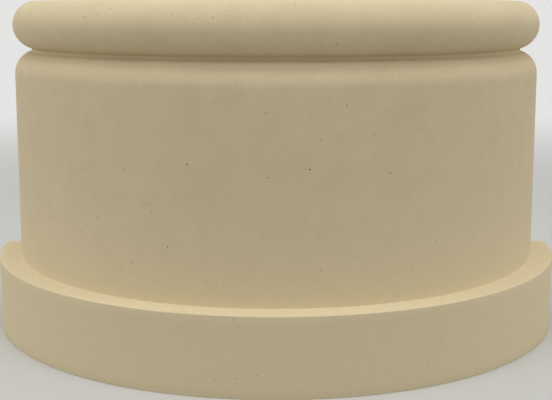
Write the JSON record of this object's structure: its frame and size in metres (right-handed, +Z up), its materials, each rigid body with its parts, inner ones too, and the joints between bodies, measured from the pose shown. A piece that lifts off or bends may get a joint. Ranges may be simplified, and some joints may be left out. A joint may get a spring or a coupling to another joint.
{
  "type": "half-round column base",
  "caption": "Half-round cast-stone column base: low plinth, plain drum with rounded shoulder, narrow groove and full round bead; flat back, bed and top.",
  "frame": {"origin": "on the column's vertical axis, where the flat back meets the underside: the middle of the underside's back edge", "axes": "+X along the wall, +Y into the wall (the flat back faces it, the round face looks along -Y), +Z up"},
  "size_m": [0.61, 0.3049, 0.345],
  "materials": {
    "cast_stone": "fine matt cast stone, sand beige, with scattered small pinholes"
  },
  "bodies": {
    "root": {"column_base": "cast_stone"}
  },
  "joints": []
}
